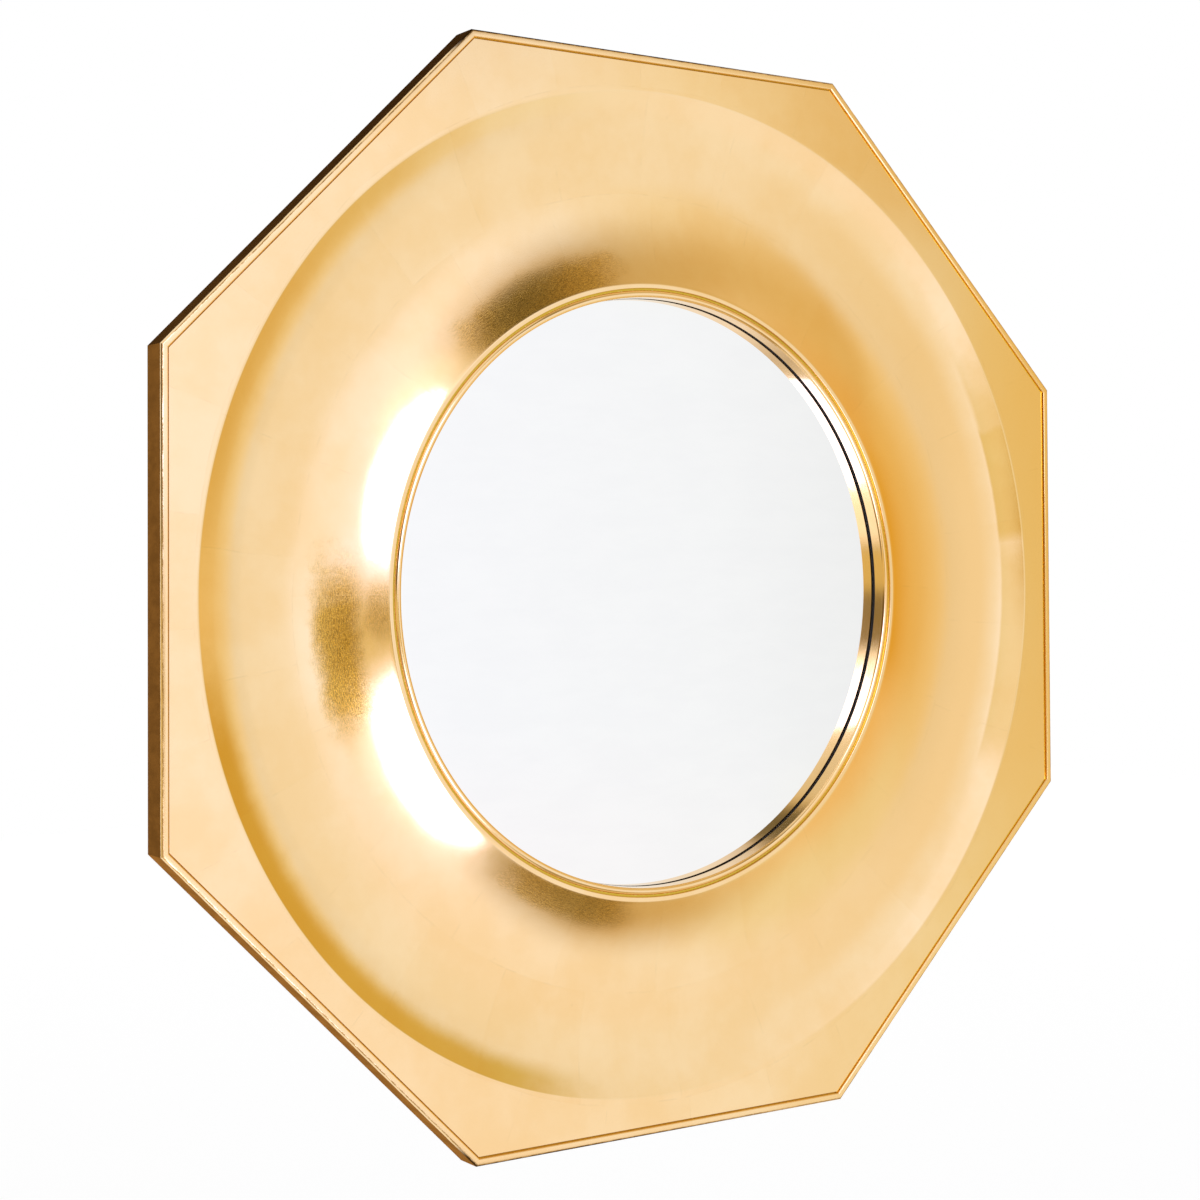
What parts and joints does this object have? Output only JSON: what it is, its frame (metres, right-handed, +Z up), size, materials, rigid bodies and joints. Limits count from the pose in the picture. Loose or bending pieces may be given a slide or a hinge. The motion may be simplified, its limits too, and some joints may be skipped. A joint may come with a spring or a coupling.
{
  "type": "wall mirror",
  "caption": "Octagonal gilded wall mirror: a round plane glass in a broad turned dish, with a beaded rim, a raised outer bead, brown edges and swinging hanger rings.",
  "frame": {"origin": "centre of the octagon on the wall plane, which is the plane of the bumper faces", "axes": "+Z up, +X to the right as seen from the front, +Y into the wall; the mirror faces -Y"},
  "size_m": [0.9, 0.0335, 0.9],
  "materials": {
    "gilded_wood": "gold leaf over wood, satin, with soft sheet seams",
    "edge_band": "bronze brown on the outer side, gold leaf on the front bead",
    "mirror": "silvered plane glass",
    "black_tape": "matt black foam",
    "hardboard": "plain hardboard",
    "beech": "pressed beech",
    "steel": "zinc plated",
    "rubber": "matt black rubber"
  },
  "bodies": {
    "frame": {"frame_segment_right": "gilded_wood", "edge_band_right": "edge_band", "frame_segment_upper_right": "gilded_wood", "edge_band_upper_right": "edge_band", "frame_segment_top": "gilded_wood", "edge_band_top": "edge_band", "frame_segment_upper_left": "gilded_wood", "edge_band_upper_left": "edge_band", "frame_segment_left": "gilded_wood", "edge_band_left": "edge_band", "frame_segment_lower_left": "gilded_wood", "edge_band_lower_left": "edge_band", "frame_segment_bottom": "gilded_wood", "edge_band_bottom": "edge_band", "frame_segment_lower_right": "gilded_wood", "edge_band_lower_right": "edge_band", "mitre_biscuits": "beech", "sight_ring": "gilded_wood", "glass_tape": "black_tape", "mirror_glass": "mirror", "back_panel": "hardboard", "back_panel_screws": "steel", "hanger_strap_left": "steel", "hanger_strap_right": "steel", "hanger_screws": "steel", "bumper_screws": "steel", "wall_bumper_upper_right": "rubber", "wall_bumper_upper_left": "rubber", "wall_bumper_lower_left": "rubber", "wall_bumper_lower_right": "rubber"},
    "ring_left": {"hanger_ring_left": "steel"},
    "ring_right": {"hanger_ring_right": "steel"}
  },
  "joints": [
    {"name": "hanger_ring_left_hinge", "type": "hinge", "parent": "frame", "child": "ring_left", "pos_m": [-0.422, -0.0049, 0.1504], "axis": [1, 0, 0], "range_deg": [0, 180]},
    {"name": "hanger_ring_right_hinge", "type": "hinge", "parent": "frame", "child": "ring_right", "pos_m": [0.422, -0.0049, 0.1504], "axis": [1, 0, 0], "range_deg": [0, 180]}
  ]
}
